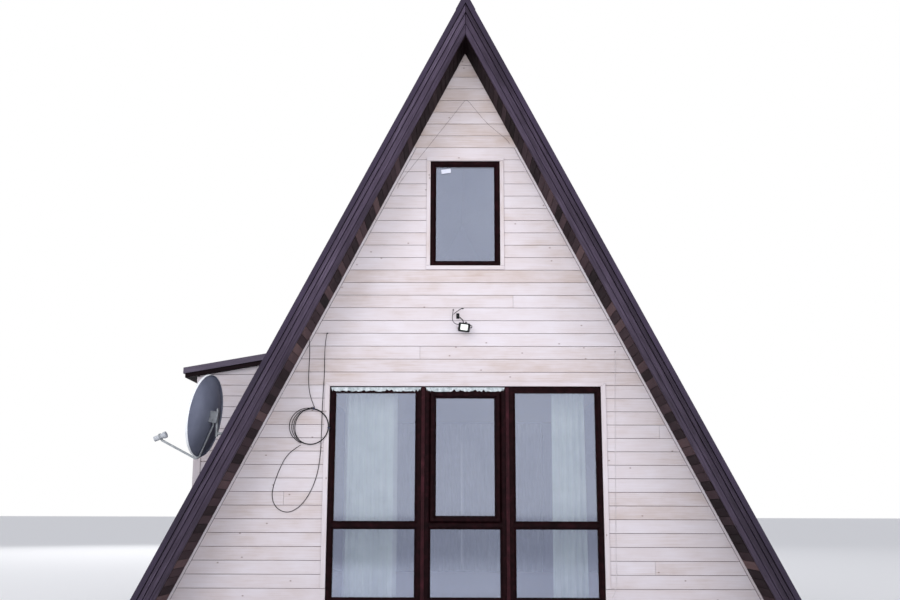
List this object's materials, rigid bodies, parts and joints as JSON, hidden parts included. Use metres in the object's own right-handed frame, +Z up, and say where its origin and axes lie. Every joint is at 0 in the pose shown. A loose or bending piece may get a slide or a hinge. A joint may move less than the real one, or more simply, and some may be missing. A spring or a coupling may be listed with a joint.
{
  "type": "a-frame cabin",
  "caption": "Timber a-frame cabin with whitewashed board gables, dark rake boards, brown framed windows and a side bay.",
  "frame": {"origin": "on the ground at the middle of the main roof's plan, under the middle foundation strip", "axes": "+X to the right as seen from the front, +Y to the back along the ridge, +Z up"},
  "size_m": [7.1364, 8.5524, 7.0188],
  "materials": {
    "black_cable": "soft sheath",
    "pale_cable": "soft sheath",
    "stained_timber": "dark stain",
    "curtain_fabric": "light weave",
    "window_glass": "clear",
    "brown_pvc": "mahogany foil",
    "whitewashed_boards": "white glaze over pine",
    "coated_steel": "polyester coated",
    "black_casting": "powder coated",
    "white_plastic": "matt",
    "painted_steel": "light grey paint",
    "concrete": "rough",
    "floor_timber": "sawn boards"
  },
  "bodies": {
    "root": {"antenna_cable_coil": "black_cable", "antenna_cable_drop": "black_cable", "antenna_cable_loop": "black_cable", "apex_wire": "pale_cable", "back_bargeboards": "stained_timber", "back_curtains": "curtain_fabric", "back_glass": "window_glass", "back_lower_window_frames": "brown_pvc", "back_trims": "whitewashed_boards", "back_wall": "whitewashed_boards", "bay_cheek_walls": "whitewashed_boards", "bay_corner_boards": "whitewashed_boards", "bay_fascia": "stained_timber", "bay_roof": "coated_steel", "bay_side_wall": "whitewashed_boards", "cable_glands": "black_casting", "curtain_track": "white_plastic", "dish_bracket": "painted_steel", "dish_feed_arm": "painted_steel", "dish_receiver": "white_plastic", "dish_reflector": "painted_steel", "entrance_door": "brown_pvc", "entrance_door_frame": "brown_pvc", "floodlight": "black_casting", "floodlight_bracket": "black_casting", "floodlight_glass": "window_glass", "floodlight_lead": "black_cable", "floodlight_spur": "black_cable", "foundation_ends": "concrete", "foundation_middle": "concrete", "foundation_sides": "concrete", "front_bargeboards": "stained_timber", "front_curtains": "curtain_fabric", "front_glass": "window_glass", "front_lower_window_frames": "brown_pvc", "front_trims": "whitewashed_boards", "front_wall": "whitewashed_boards", "ground_floor": "floor_timber", "left_roof_panel": "floor_timber", "left_roof_sheet": "coated_steel", "loft_floor": "floor_timber", "pale_cable": "pale_cable", "ridge_cap": "coated_steel", "right_roof_panel": "floor_timber", "right_roof_sheet": "coated_steel", "upper_window_frames": "brown_pvc", "verge_battens": "stained_timber", "verge_flashings": "coated_steel", "window_couplings": "brown_pvc", "window_sashes": "brown_pvc"}
  },
  "joints": []
}
